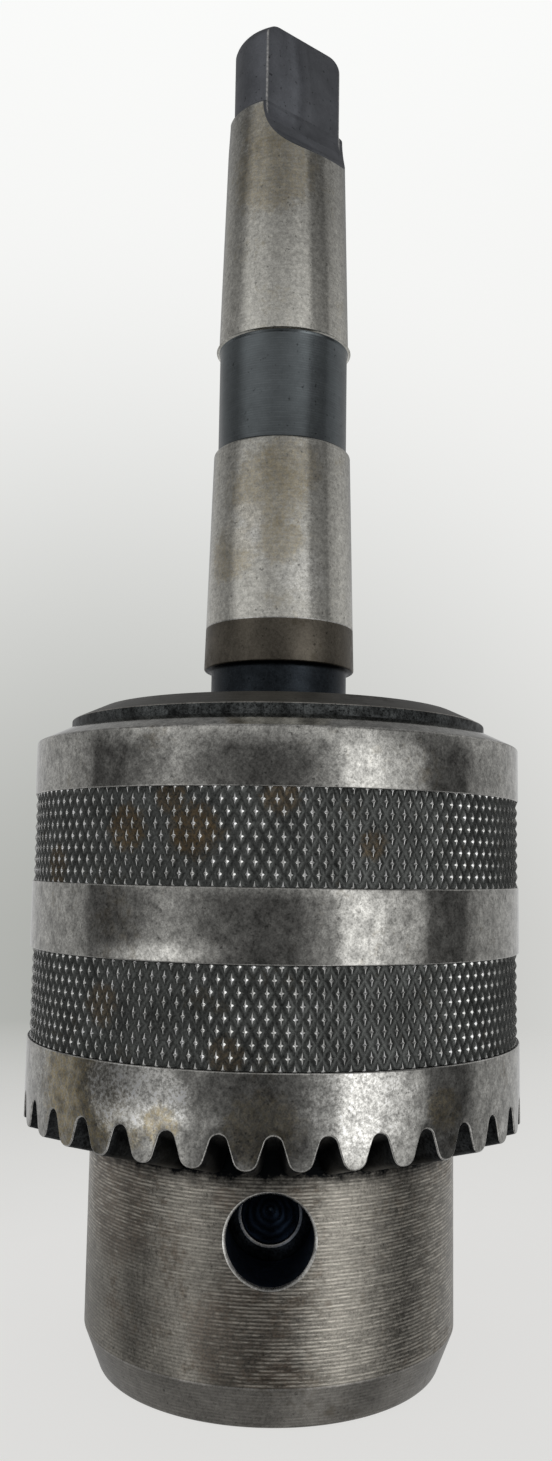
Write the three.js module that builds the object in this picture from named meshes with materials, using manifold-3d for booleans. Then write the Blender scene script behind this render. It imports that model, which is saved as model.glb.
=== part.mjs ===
// Keyed three-jaw drill chuck, 16 mm capacity, on a Morse taper 2 arbor.
// Millimetres, +Z up. The origin is the centre of the nose face, and the axis of the chuck is Z.
// An azimuth is measured from -Y towards +X. The jaws stand fully open.
import * as THREE from "three";
import { mergeVertices } from "three/addons/utils/BufferGeometryUtils.js";
import Module from "manifold-3d";

const wasm = await Module();
wasm.setup();

const DEG = Math.PI / 180;
const GAP = 0.3; // between pieces that touch on the real chuck
const FAR = 100; // larger than any piece, for cutting tools

// Body: nose, groove for the nut, spigot for the thrust races, and drum inside the sleeve.
const NOSE_R = 20.8;
const NOSE_END_R = 19.0;
const NOSE_TAPER_H = 4.4;
const NOSE_EDGE = 0.5;
const GROOVE_R = 14.2;
const GROOVE_Z = 30.2;
const SPIGOT_Z = 41.1;
const SHOULDER_Z = 48.0;
const DRUM_R = 24.35;
const DRUM_TOP_Z = 71.2;
const BODY_TOP_R = 21.0;
const BODY_TOP_Z = 72.75;
const DRILL_BORE_R = 8.6;
const DRILL_BORE_Z = 41.0;
const BORE_CHAMFER = 1.0;
const VENT_R = 3.0;

// Three holes in the nose take the pilot of the key.
const KEY_HOLE_AZ = 4.1 * DEG;
const KEY_HOLE_R = 4.4;
const KEY_HOLE_Z = 18.2;
const KEY_HOLE_BOTTOM = 12.4; // distance of the full bore's end from the axis
const KEY_HOLE_CHAMFER = 0.35;
const DRILL_POINT = 59 * DEG;

// Jaws: round rods that slide in inclined guides, with a rack on the outward side.
const JAWS = 3;
const JAW_TILT = 15 * DEG;
const JAW_R = 4.7;
const JAW_FOOT_R = 2.95; // where a jaw's axis crosses the plane of the nose face
const JAW_TIP_Z = 11.5;
const JAW_END = 68.7; // rear end, along the jaw's axis from the nose plane
const JAW_MAX_R = 24.3;
const GRIP_OPEN_R = 8.0;
const GRIP_LAND = 0.4; // half width of the gripping edge
const GUIDE_R = JAW_R + GAP;
const GUIDE_END = JAW_END + 1.0;

// Thread of the nut, and the racks that it drives.
const PITCH = 2.5;
const ENGAGE = 1.1; // how far the ridge reaches into a jaw
const RIDGE_TOP = 0.5;
const RIDGE_BASE = 1.0;
const RACK_DEPTH = 1.95;
const RACK_BOTTOM = 1.15;
const RACK_MOUTH = 1.75;
const RACK_START = 31.25; // first groove, along the jaw's axis
const THREAD_STEPS = 24; // straight steps in one turn
const NUT_Z0 = 30.5;
const NUT_Z1 = 40.8;
const NUT_R = 24.45;
const NUT_SPLIT_AZ = 34 * DEG;

// Thrust bearing between the nut and the shoulder of the body.
const RACE_IN_R = 21.1;
const RACE_OUT_R = 24.4;
const RACE_H = 1.3;
const BALL_COUNT = 20;
const BALL_R = 1.19;
const BALL_CIRCLE_R = (RACE_IN_R + RACE_OUT_R) / 2;
const CAGE_H = 1.0;
const LOWER_RACE_Z = NUT_Z1 + GAP;
const BALL_Z = LOWER_RACE_Z + RACE_H + GAP + BALL_R;
const UPPER_RACE_Z = BALL_Z + BALL_R + GAP;

// Sleeve: three smooth bands and two knurled bands, with bevel gear teeth at the lower end.
const SLEEVE_R = 28.23;
const KNURL_R = 27.9;
const SLEEVE_BORE_R = 24.75;
const SLEEVE_MOUTH_R = 21.15;
const BAND_TOPS = [35.6, 45.47, 52.82, 62.49]; // knurl, smooth, knurl and smooth start here
const SLEEVE_EDGE_Z = 68.45;
const SLEEVE_TOP_Z = 70.1;
const TEETH = 34;
const TOOTH_TIP_Z = 26.62; // at the outer edge
const TOOTH_ROOT_Z = 29.85;
const TOOTH_GAP_AZ = 4.5 * DEG;
const GAP_MOUTH_W = 3.9;
const GAP_ROOT_W = 1.7;
const SLEEVE_SIDES = 2 * TEETH;

// Arbor: Morse taper 2 with its tang above, Jacobs taper 3 below.
const SOCKET_MOUTH_R = 10.3;
const SOCKET_TAPER = 0.0266; // change of radius with length
const ARBOR_FOOT_Z = 46.0;
const ARBOR_HEAD_Z = 72.0;
const NECK_R = 8.1;
const NECK_TOP_Z = 78.0;
const TAPER_R = 9.0;
const TAPER_RATE = 0.02497; // change of radius with length
const RELIEF_Z0 = 104.73;
const RELIEF_Z1 = 117.94;
const RELIEF_R = 7.85;
const TANG_FOOT_Z = 147.5;
const TANG_TOP_Z = 158.0;
const TANG_R = 6.75;
const TANG_HALF = 3.15;
const TANG_FILLET = 6.0;
const TANG_CORNER = 2.0;
const TANG_AZ = 41.5 * DEG;

const STEEL = 0x6f6d69;
const DARK_STEEL = 0x34363a;
const GROUND_STEEL = 0x8d8a84;
const HARD_STEEL = 0x9a9a9c;
const BRASS = 0xb08d4a;

function material(color, roughness) {
  return new THREE.MeshStandardMaterial({ color, roughness, metalness: 0.9 });
}

// A closed geometry becomes a solid once its repeated vertices are one and its slivers are gone.
function solidOf(geometry) {
  const bare = geometry.clone();
  bare.deleteAttribute("normal");
  bare.deleteAttribute("uv");
  const merged = mergeVertices(bare, 1e-4);
  const corners = merged.index.array;
  const kept = [];
  for (let i = 0; i < corners.length; i += 3) {
    const [a, b, c] = corners.slice(i, i + 3);
    if (a !== b && b !== c && c !== a) kept.push(a, b, c);
  }
  return new wasm.Manifold(
    new wasm.Mesh({
      numProp: 3,
      vertProperties: new Float32Array(merged.attributes.position.array),
      triVerts: new Uint32Array(kept),
    }),
  );
}

function geometryOf(solid) {
  const mesh = solid.getMesh();
  const geometry = new THREE.BufferGeometry();
  geometry.setAttribute("position", new THREE.BufferAttribute(mesh.vertProperties, 3));
  geometry.setIndex(new THREE.BufferAttribute(mesh.triVerts, 1));
  geometry.computeVertexNormals();
  return geometry;
}

// A profile of [radius, height] pairs, counter-clockwise, turned about Z.
function turned(profile, sides = 48) {
  const points = profile.map(([r, z]) => new THREE.Vector2(r, z));
  const lathe = new THREE.LatheGeometry(points, sides);
  return solidOf(lathe.rotateX(Math.PI / 2));
}

function ringProfile(r0, r1, z0, z1) {
  return [[r0, z0], [r1, z0], [r1, z1], [r0, z1], [r0, z0]];
}

// A rod along Z with its ends at z0 and z1.
function rod(r, z0, z1, sides = 20) {
  const cylinder = new THREE.CylinderGeometry(r, r, z1 - z0, sides);
  return cylinder.rotateX(Math.PI / 2).translate(0, 0, (z0 + z1) / 2);
}

function block(width, depth, height, x, y, z) {
  return new THREE.BoxGeometry(width, depth, height).translate(x, y, z);
}

// An outline of [x, y] pairs, extruded along Z from z0 to z1.
function prism(outline, z0, z1) {
  const shape = new THREE.Shape(outline.map(([x, y]) => new THREE.Vector2(x, y)));
  const options = { depth: z1 - z0, bevelEnabled: false };
  return new THREE.ExtrudeGeometry(shape, options).translate(0, 0, z0);
}

// Moves a tool made along a jaw's own axis to the guide at azimuth 0.
function alongJaw(geometry) {
  return geometry.rotateX(JAW_TILT).translate(0, -JAW_FOOT_R, 0);
}

function socketR(z) {
  return SOCKET_MOUTH_R - SOCKET_TAPER * (ARBOR_HEAD_Z - z);
}

function taperR(z) {
  return TAPER_R - TAPER_RATE * (z - NECK_TOP_Z);
}

function jawAzimuth(index) {
  return KEY_HOLE_AZ + (60 + 120 * index) * DEG;
}

function keyHoleTool() {
  const depth = NOSE_R - KEY_HOLE_BOTTOM;
  const pointH = KEY_HOLE_R / Math.tan(DRILL_POINT);
  const mouthR = KEY_HOLE_R + KEY_HOLE_CHAMFER;
  const outside = 3;
  const profile = [
    new THREE.Vector2(0, -pointH),
    new THREE.Vector2(KEY_HOLE_R, 0),
    new THREE.Vector2(KEY_HOLE_R, depth - KEY_HOLE_CHAMFER),
    new THREE.Vector2(mouthR, depth),
    new THREE.Vector2(mouthR, depth + outside),
    new THREE.Vector2(0, depth + outside),
  ];
  const lathe = new THREE.LatheGeometry(profile, 24);
  return lathe.rotateX(Math.PI).translate(0, -KEY_HOLE_BOTTOM, KEY_HOLE_Z);
}

function bodySolid() {
  const outline = [
    [0, 0],
    [NOSE_END_R - NOSE_EDGE, 0],
    [NOSE_END_R, NOSE_EDGE],
    [NOSE_R, NOSE_TAPER_H],
    [NOSE_R, GROOVE_Z],
    [GROOVE_R, GROOVE_Z],
    [GROOVE_R, SPIGOT_Z],
    [NOSE_R, SPIGOT_Z],
    [NOSE_R, SHOULDER_Z],
    [DRUM_R, SHOULDER_Z],
    [DRUM_R, DRUM_TOP_Z],
    [BODY_TOP_R, BODY_TOP_Z],
    [0, BODY_TOP_Z],
  ];
  const drillBore = [
    [0, -1],
    [DRILL_BORE_R + BORE_CHAMFER + 1, -1],
    [DRILL_BORE_R, BORE_CHAMFER],
    [DRILL_BORE_R, DRILL_BORE_Z],
    [VENT_R, DRILL_BORE_Z + (DRILL_BORE_R - VENT_R) / 2],
    [VENT_R, ARBOR_FOOT_Z - GAP],
    [socketR(ARBOR_FOOT_Z) + GAP, ARBOR_FOOT_Z - GAP],
    [socketR(ARBOR_HEAD_Z) + GAP, ARBOR_HEAD_Z],
    [socketR(BODY_TOP_Z) + 2 * GAP, BODY_TOP_Z + 1],
    [0, BODY_TOP_Z + 1],
  ];
  let body = turned(outline).subtract(turned(drillBore, 40));
  for (let i = 0; i < JAWS; i += 1) {
    const guide = alongJaw(rod(GUIDE_R, -8, GUIDE_END)).rotateZ(jawAzimuth(i));
    const keyHole = keyHoleTool().rotateZ(KEY_HOLE_AZ + 120 * i * DEG);
    body = body.subtract(solidOf(guide)).subtract(solidOf(keyHole));
  }
  return body;
}

// The gripping end of a jaw lies in a sector of 120 degrees with a narrow edge at its corner.
function gripSector() {
  const reach = 40;
  const side = GRIP_LAND + reach * Math.sin(60 * DEG);
  const top = GRIP_OPEN_R + reach * Math.cos(60 * DEG);
  const outline = [
    [-GRIP_LAND, -GRIP_OPEN_R],
    [-side, -top],
    [side, -top],
    [GRIP_LAND, -GRIP_OPEN_R],
  ];
  return prism(outline, JAW_TIP_Z, FAR);
}

// One groove of the rack, across the outward side of the rod.
function rackGroove(height) {
  const open = 1;
  const mouth = RACK_MOUTH + (open * (RACK_MOUTH - RACK_BOTTOM)) / RACK_DEPTH;
  const outline = [
    [-mouth / 2, -JAW_R - open],
    [mouth / 2, -JAW_R - open],
    [RACK_BOTTOM / 2, -JAW_R + RACK_DEPTH],
    [-RACK_BOTTOM / 2, -JAW_R + RACK_DEPTH],
  ];
  return prism(outline, -JAW_R, JAW_R).rotateY(Math.PI / 2).translate(0, 0, height);
}

// Along a jaw, the ridge of the nut stands one pitch higher for each full turn of azimuth.
function ridgeHeight(azimuth) {
  return (PITCH * azimuth) / (2 * Math.PI);
}

function jawSolid(index) {
  let jaw = solidOf(alongJaw(rod(JAW_R, 0, JAW_END)));
  jaw = jaw.intersect(solidOf(gripSector()));
  jaw = jaw.intersect(solidOf(rod(JAW_MAX_R, 0, FAR, 48)));
  const stagger = ridgeHeight(jawAzimuth(index)) % PITCH;
  for (let at = RACK_START + stagger; at < JAW_END + RACK_MOUTH / 2; at += PITCH) {
    jaw = jaw.subtract(solidOf(alongJaw(rackGroove(at))));
  }
  return jaw;
}

// Radius of the cone on which the outermost lines of the three jaws lie.
function jawConeR(z) {
  return JAW_FOOT_R + z * Math.tan(JAW_TILT) + JAW_R / Math.cos(JAW_TILT);
}

// The ridge follows a helix on the cone of the jaws. Its section is a trapezoid.
function ridgeSolid() {
  const first = Math.floor((NUT_Z0 / Math.cos(JAW_TILT) - 2 * PITCH) / PITCH) * PITCH;
  const turns = Math.ceil((NUT_Z1 - NUT_Z0) / PITCH) + 4;
  const steps = turns * THREAD_STEPS;
  const section = [
    [-ENGAGE, -RIDGE_TOP / 2],
    [2 * GAP, -RIDGE_BASE / 2],
    [2 * GAP, RIDGE_BASE / 2],
    [-ENGAGE, RIDGE_TOP / 2],
  ];
  const phase = RACK_START - Math.round((RACK_START - first) / PITCH) * PITCH;
  const positions = [];
  for (let k = 0; k <= steps; k += 1) {
    const azimuth = (2 * Math.PI * k) / THREAD_STEPS;
    for (const [out, up] of section) {
      const along = phase + ridgeHeight(azimuth) + up;
      const r = JAW_FOOT_R + along * Math.sin(JAW_TILT) + (JAW_R + out) * Math.cos(JAW_TILT);
      const z = along * Math.cos(JAW_TILT) - (JAW_R + out) * Math.sin(JAW_TILT);
      positions.push(r * Math.sin(azimuth), -r * Math.cos(azimuth), z);
    }
  }
  const faces = [];
  const corners = section.length;
  for (let k = 0; k < steps; k += 1) {
    for (let i = 0; i < corners; i += 1) {
      const a = k * corners + i;
      const b = k * corners + ((i + 1) % corners);
      faces.push(a, b + corners, b, a, a + corners, b + corners);
    }
  }
  const last = steps * corners;
  faces.push(0, 1, 2, 0, 2, 3, last, last + 2, last + 1, last, last + 3, last + 2);
  const geometry = new THREE.BufferGeometry();
  geometry.setAttribute("position", new THREE.Float32BufferAttribute(positions, 3));
  geometry.setIndex(faces);
  return solidOf(geometry);
}

function nutSolid() {
  const ring = turned([
    [jawConeR(NUT_Z0) + GAP, NUT_Z0],
    [NUT_R, NUT_Z0],
    [NUT_R, NUT_Z1],
    [jawConeR(NUT_Z1) + GAP, NUT_Z1],
    [jawConeR(NUT_Z0) + GAP, NUT_Z0],
  ]);
  const envelope = solidOf(rod(NUT_R - 1, NUT_Z0, NUT_Z1, 40));
  return ring.add(ridgeSolid().intersect(envelope));
}

// The nut is split in two so that it can be put into the groove of the body.
function nutHalf(nut, side) {
  const half = block(FAR, FAR, FAR, 0, (side * (FAR + GAP)) / 2, NUT_Z0);
  return nut.intersect(solidOf(half.rotateZ(NUT_SPLIT_AZ)));
}

// A gap between two teeth. It narrows towards the axis, where the key's axis crosses the chuck's.
function toothGap() {
  const mouthZ = TOOTH_TIP_Z - KEY_HOLE_Z;
  const rootZ = TOOTH_ROOT_Z - KEY_HOLE_Z;
  const below = 1.2;
  const flare = ((GAP_MOUTH_W - GAP_ROOT_W) * below) / (rootZ - mouthZ);
  const rootR = GAP_ROOT_W / 2;
  const shape = new THREE.Shape();
  shape.moveTo(-(GAP_MOUTH_W + flare) / 2, mouthZ - below);
  shape.lineTo((GAP_MOUTH_W + flare) / 2, mouthZ - below);
  shape.lineTo(rootR, rootZ - rootR);
  shape.absarc(0, rootZ - rootR, rootR, 0, Math.PI, false);
  const extruded = new THREE.ExtrudeGeometry(shape, {
    depth: SLEEVE_R - SLEEVE_MOUTH_R + 4,
    bevelEnabled: false,
    curveSegments: 3,
  });
  const tool = extruded.rotateX(Math.PI / 2).translate(0, -SLEEVE_MOUTH_R + 2, 0);
  const place = tool.attributes.position;
  for (let i = 0; i < place.count; i += 1) {
    const scale = -place.getY(i) / SLEEVE_R;
    place.setX(i, place.getX(i) * scale);
    place.setZ(i, KEY_HOLE_Z + place.getZ(i) * scale);
  }
  return tool;
}

function tipConeZ(r) {
  return KEY_HOLE_Z + ((TOOTH_TIP_Z - KEY_HOLE_Z) * r) / SLEEVE_R;
}

function sleeveSolid() {
  const [knurl1, smooth2, knurl2, smooth3] = BAND_TOPS;
  const outline = [
    [SLEEVE_MOUTH_R, tipConeZ(SLEEVE_MOUTH_R)],
    [SLEEVE_R, TOOTH_TIP_Z],
    [SLEEVE_R, knurl1],
    [KNURL_R, knurl1],
    [KNURL_R, smooth2],
    [SLEEVE_R, smooth2],
    [SLEEVE_R, knurl2],
    [KNURL_R, knurl2],
    [KNURL_R, smooth3],
    [SLEEVE_R, smooth3],
    [SLEEVE_R, SLEEVE_EDGE_Z],
    [SLEEVE_BORE_R, SLEEVE_TOP_Z],
    [SLEEVE_BORE_R, NUT_Z0 - GAP],
    [SLEEVE_MOUTH_R, NUT_Z0 - GAP],
    [SLEEVE_MOUTH_R, tipConeZ(SLEEVE_MOUTH_R)],
  ];
  let sleeve = turned(outline, SLEEVE_SIDES);
  for (let i = 0; i < TEETH; i += 1) {
    const azimuth = TOOTH_GAP_AZ + (2 * Math.PI * i) / TEETH;
    sleeve = sleeve.subtract(solidOf(toothGap().rotateZ(azimuth)));
  }
  return sleeve;
}

// Material removed beside the tang, down to a fillet that runs out into the taper.
function tangCut() {
  const shape = new THREE.Shape();
  const top = TANG_TOP_Z + 1;
  shape.moveTo(TANG_HALF, top);
  shape.lineTo(TANG_HALF, TANG_FOOT_Z);
  shape.absarc(TANG_HALF + TANG_FILLET, TANG_FOOT_Z, TANG_FILLET, Math.PI, 1.5 * Math.PI, false);
  shape.lineTo(TANG_HALF + TANG_FILLET, top);
  const width = 2 * TAPER_R;
  const options = { depth: width, bevelEnabled: false, curveSegments: 6 };
  return new THREE.ExtrudeGeometry(shape, options).translate(0, 0, -width / 2).rotateX(Math.PI / 2);
}

// The outline of the tang's broad side, with rounded top corners.
function tangBlank() {
  const shape = new THREE.Shape();
  const shoulder = TANG_TOP_Z - TANG_CORNER;
  const inner = TANG_R - TANG_CORNER;
  shape.moveTo(-TAPER_R - 3, 0);
  shape.lineTo(TAPER_R + 3, 0);
  shape.lineTo(TAPER_R + 3, TANG_FOOT_Z);
  shape.lineTo(TANG_R, TANG_FOOT_Z);
  shape.lineTo(TANG_R, shoulder);
  shape.absarc(inner, shoulder, TANG_CORNER, 0, Math.PI / 2, false);
  shape.absarc(-inner, shoulder, TANG_CORNER, Math.PI / 2, Math.PI, false);
  shape.lineTo(-TANG_R, TANG_FOOT_Z);
  shape.lineTo(-TAPER_R - 3, TANG_FOOT_Z);
  const width = 4 * TAPER_R;
  const options = { depth: width, bevelEnabled: false, curveSegments: 6 };
  const plate = new THREE.ExtrudeGeometry(shape, options).translate(0, 0, -width / 2);
  return plate.rotateX(Math.PI / 2).rotateZ(Math.PI / 2);
}

function arborSolid() {
  const edge = 0.4;
  const outline = [
    [0, ARBOR_FOOT_Z],
    [socketR(ARBOR_FOOT_Z), ARBOR_FOOT_Z],
    [socketR(ARBOR_HEAD_Z), ARBOR_HEAD_Z],
    [NECK_R, ARBOR_HEAD_Z + edge],
    [NECK_R, NECK_TOP_Z],
    [TAPER_R - edge, NECK_TOP_Z],
    [TAPER_R, NECK_TOP_Z + edge],
    [taperR(RELIEF_Z0), RELIEF_Z0],
    [RELIEF_R, RELIEF_Z0 + edge],
    [RELIEF_R, RELIEF_Z1 - edge],
    [taperR(RELIEF_Z1), RELIEF_Z1],
    [taperR(TANG_FOOT_Z), TANG_FOOT_Z],
    [TANG_R, TANG_FOOT_Z],
    [TANG_R, TANG_TOP_Z],
    [0, TANG_TOP_Z],
  ];
  let arbor = turned(outline, 40).intersect(solidOf(tangBlank()));
  for (const turn of [0, Math.PI]) {
    arbor = arbor.subtract(solidOf(tangCut().rotateZ(turn)));
  }
  return arbor.rotate([0, 0, TANG_AZ / DEG - 90]);
}

function cageSolid() {
  const margin = 0.15;
  const z0 = BALL_Z - CAGE_H / 2;
  let cage = turned(ringProfile(RACE_IN_R, RACE_OUT_R, z0, z0 + CAGE_H), 40);
  for (let i = 0; i < BALL_COUNT; i += 1) {
    const pocket = rod(BALL_R + margin, z0 - 1, z0 + CAGE_H + 1, 8);
    pocket.translate(0, -BALL_CIRCLE_R, 0).rotateZ((2 * Math.PI * i) / BALL_COUNT);
    cage = cage.subtract(solidOf(pocket));
  }
  return cage;
}

const chuck = new THREE.Group();

function addPiece(name, geometry, look, parent = chuck) {
  const mesh = new THREE.Mesh(geometry, look);
  mesh.name = name;
  parent.add(mesh);
  return mesh;
}

addPiece("chuck_body", geometryOf(bodySolid()), material(STEEL, 0.45));
addPiece("arbor", geometryOf(arborSolid()), material(GROUND_STEEL, 0.35));
addPiece("sleeve", geometryOf(sleeveSolid()), material(STEEL, 0.4));

const nut = nutSolid();
addPiece("nut_half_a", geometryOf(nutHalf(nut, 1)), material(DARK_STEEL, 0.45));
addPiece("nut_half_b", geometryOf(nutHalf(nut, -1)), material(DARK_STEEL, 0.45));

for (let i = 0; i < JAWS; i += 1) {
  const jaw = addPiece(`jaw_${i + 1}`, geometryOf(jawSolid(i)), material(HARD_STEEL, 0.35));
  jaw.rotation.z = jawAzimuth(i);
}

const race = turned(ringProfile(RACE_IN_R, RACE_OUT_R, 0, RACE_H), 40);
const nutRace = addPiece("nut_race", geometryOf(race), material(HARD_STEEL, 0.25));
nutRace.position.z = LOWER_RACE_Z;
const bodyRace = addPiece("body_race", geometryOf(race), material(HARD_STEEL, 0.25));
bodyRace.position.z = UPPER_RACE_Z;

addPiece("ball_cage", geometryOf(cageSolid()), material(BRASS, 0.4));
for (let i = 0; i < BALL_COUNT; i += 1) {
  const number = String(i + 1).padStart(2, "0");
  const spoke = new THREE.Group();
  spoke.rotation.z = (2 * Math.PI * i) / BALL_COUNT;
  chuck.add(spoke);
  const sphere = new THREE.IcosahedronGeometry(BALL_R, 1);
  const ball = addPiece(`ball_${number}`, sphere, material(HARD_STEEL, 0.15), spoke);
  ball.position.set(0, -BALL_CIRCLE_R, BALL_Z);
}

export default chuck;
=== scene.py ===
"""Keyed drill chuck: the looks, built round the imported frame. Metres in Blender, millimetres in this file."""

import math

import bmesh
import bpy
from mathutils import Matrix, Vector


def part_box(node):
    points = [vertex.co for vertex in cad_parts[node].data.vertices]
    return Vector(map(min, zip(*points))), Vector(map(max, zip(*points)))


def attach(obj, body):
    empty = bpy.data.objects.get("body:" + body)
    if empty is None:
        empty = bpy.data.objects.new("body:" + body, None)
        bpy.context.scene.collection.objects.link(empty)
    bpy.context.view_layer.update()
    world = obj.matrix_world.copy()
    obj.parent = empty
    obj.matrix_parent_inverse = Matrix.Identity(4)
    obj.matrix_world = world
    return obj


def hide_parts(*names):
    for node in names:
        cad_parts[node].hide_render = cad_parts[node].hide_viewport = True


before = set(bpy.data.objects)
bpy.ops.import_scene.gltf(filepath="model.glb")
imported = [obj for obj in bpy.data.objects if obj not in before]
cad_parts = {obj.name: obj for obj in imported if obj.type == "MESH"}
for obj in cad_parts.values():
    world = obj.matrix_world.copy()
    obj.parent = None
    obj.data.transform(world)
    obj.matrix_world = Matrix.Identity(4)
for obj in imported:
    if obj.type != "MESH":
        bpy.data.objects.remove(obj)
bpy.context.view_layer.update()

MM = 0.001
TAU = 2 * math.pi

# Dimensions of the chuck, in millimetres. Azimuths run from -Y towards +X.
SLEEVE_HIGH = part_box("sleeve")[1]
BODY_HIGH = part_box("chuck_body")[1]
ARBOR_LOW, ARBOR_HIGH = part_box("arbor")
SLEEVE_R = SLEEVE_HIGH[0] / MM
SLEEVE_TOP = SLEEVE_HIGH[2] / MM
BODY_TOP = BODY_HIGH[2] / MM
DRUM_R = BODY_HIGH[0] / MM
TANG_TOP = ARBOR_HIGH[2] / MM
ARBOR_FOOT = ARBOR_LOW[2] / MM
SOCKET_R = ARBOR_HIGH[0] / MM

NOSE_R = 20.8
NOSE_END_R = 19.0
NOSE_TAPER_H = 4.4
GROOVE_R = 14.2
GROOVE_Z = 30.2
SPIGOT_Z = 41.1
SHOULDER_Z = 48.0
RIM_Z = BODY_TOP - 1.55
PLATE_R = 21.0
BORE_R = 8.6
BORE_TOP = 41.0
VENT_R = 3.0

KEY_AZ = math.radians(4.1)
KEY_R = 4.4
KEY_Z = 18.2
KEY_BOTTOM = 12.4
KEY_EDGE = 0.32
PILOT_R = 3.1
PILOT_BOTTOM = 11.1
PILOT_LIP = 0.26
DRILL_POINT = math.radians(59)

JAW_TILT = math.radians(15)
JAW_R = 4.7
JAW_FOOT_R = 2.95
JAW_TIP_Z = 11.5
JAW_END = 68.7
JAW_MAX_R = 24.3
GRIP_R = 8.0
GRIP_LAND = 0.4
JAW_EDGE = 0.4
GUIDE_R = 5.0
GUIDE_END = 69.7
PITCH = 2.5
RACK_START = 31.25
RACK_DEPTH = 1.95
RACK_MOUTH_HALF = 1.03
RACK_FLOOR_HALF = 0.57

TEETH = 34
TOOTH_TIP = 26.62
TOOTH_ROOT = 29.85
TOOTH_GAP_AZ = math.radians(4.5)
ROOT_ARC = 0.86
GAP_HALF = 1.7
TIP_FILLET = 1.1
EDGE = 0.12
MOUTH_R = 21.15
BORE_SLEEVE_R = 24.75
SEAT_Z = 30.2
BALL_R = 1.19
BAND_LIP = 0.16
BANDS = ((35.6, 45.47), (52.82, 62.49))
CHAMFER_Z = 68.45
KNURL_FLOOR = 27.35
KNURL_TIP = (27.95, 28.1)
KNURL_R = 27.8
KNURL_COUNT = 128
KNURL_PITCH_Z = 2.42
VALLEY_DEPTH = 0.36
KNURL_RUN_IN = 0.2
# Each raised diamond ends in a small flat top with a four-armed worn star round it.
ARM_X, ARM_Z, ARM_DROP = 0.25, 0.62, 0.2
ELBOW_X, ELBOW_Z, ELBOW_DROP = 0.075, 0.17, 0.11
TOP_X, TOP_Z = 0.028, 0.1

NECK_R = 8.1
NECK_TOP = 78.0
HEAD_Z = 72.0
SOCKET_RATE = 0.0266
TAPER_R = 9.0
TAPER_RATE = 0.02497
BROWN_TOP = 83.0
RELIEF = (104.73, 117.94)
RELIEF_R = 7.85
TANG_FOOT = 147.5
TANG_R = 6.75
TANG_HALF = 3.25
TANG_FILLET = 7.8
TANG_CORNER = 1.6
# Width of the worn strip along the tang's edges that carries a painted highlight.
TANG_WORN_HIGHLIGHT_WIDTH = 0.13
TANG_BEVEL = 0.2
TANG_AZ = math.radians(43.5)
TANG_EDGE_TURN = math.acos(TANG_HALF / TANG_R)
TANG_FACING = Vector((math.sin(TANG_AZ), -math.cos(TANG_AZ), 0))

# The round mat under the chuck, in metres.
MAT_R = 0.45

# The camera stands close to the chuck and a little above the middle of the sleeve.
CAMERA_AT = (10.35, -143.8, 54.97)
CAMERA_PITCH = 0.1108
CAMERA_YAW = -0.0734
CAMERA_ROLL = 0.0156
CAMERA_LENS = 29.76
CAMERA_SENSOR = 36.0


def at(radius, azimuth, height):
    """A point by distance from the axis, azimuth and height, in metres."""
    return Vector((radius * math.sin(azimuth), -radius * math.cos(azimuth), height)) * MM


def new_piece(name, bm, angle=32):
    """A mesh object from a bmesh, smooth but for edges sharper than the angle."""
    bmesh.ops.recalc_face_normals(bm, faces=bm.faces)
    mesh = bpy.data.meshes.new(name)
    bm.to_mesh(mesh)
    bm.free()
    for face in mesh.polygons:
        face.use_smooth = True
    mesh.set_sharp_from_angle(angle=math.radians(angle))
    piece = bpy.data.objects.new(name, mesh)
    bpy.context.scene.collection.objects.link(piece)
    return piece


def rounded(corners):
    """The closed outline of (x, y, radius) corners, each turned into an arc of its own radius."""
    points = []
    count = len(corners)
    for i, (x, y, radius) in enumerate(corners):
        here = Vector((x, y))
        if radius == 0:
            points.append(here)
            continue
        back = (Vector(corners[i - 1][:2]) - here).normalized()
        on = (Vector(corners[(i + 1) % count][:2]) - here).normalized()
        half = back.angle(on) / 2
        reach = radius / math.tan(half)
        centre = here + (back + on).normalized() * radius / math.sin(half)
        start = here + back * reach - centre
        end = here + on * reach - centre
        turn = start.angle_signed(end)
        steps = 4 if radius < 1 else 12
        for k in range(steps + 1):
            points.append(centre + Matrix.Rotation(-turn * k / steps, 2) @ start)
    return [(p.x, p.y) for p in points]


def lathe_mesh(outline, sides):
    """A closed outline of (radius, height) turned about Z. Points on the axis become one vertex."""
    bm = bmesh.new()
    rings = []
    for radius, height in outline:
        if radius < 1e-6:
            rings.append([bm.verts.new(at(0, 0, height))] * sides)
        else:
            rings.append([bm.verts.new(at(radius, TAU * k / sides, height)) for k in range(sides)])
    for i, ring in enumerate(rings):
        after = rings[(i + 1) % len(rings)]
        for k in range(sides):
            n = (k + 1) % sides
            corners = []
            for vert in (ring[k], ring[n], after[n], after[k]):
                if vert not in corners:
                    corners.append(vert)
            if len(corners) > 2:
                bm.faces.new(corners)
    return bm


def apply_modifiers(piece):
    """Gives the piece the mesh that its modifiers make."""
    bpy.context.view_layer.update()
    graph = bpy.context.evaluated_depsgraph_get()
    old = piece.data
    mesh = bpy.data.meshes.new_from_object(piece.evaluated_get(graph))
    piece.modifiers.clear()
    piece.data = mesh
    bpy.data.meshes.remove(old)


def cut(piece, tool, operation="DIFFERENCE"):
    """Applies a boolean with the tool, then removes the tool."""
    boolean = piece.modifiers.new("cut", "BOOLEAN")
    boolean.operation = operation
    boolean.solver = "EXACT"
    boolean.object = tool
    apply_modifiers(piece)
    bpy.data.objects.remove(tool, do_unlink=True)


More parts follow.
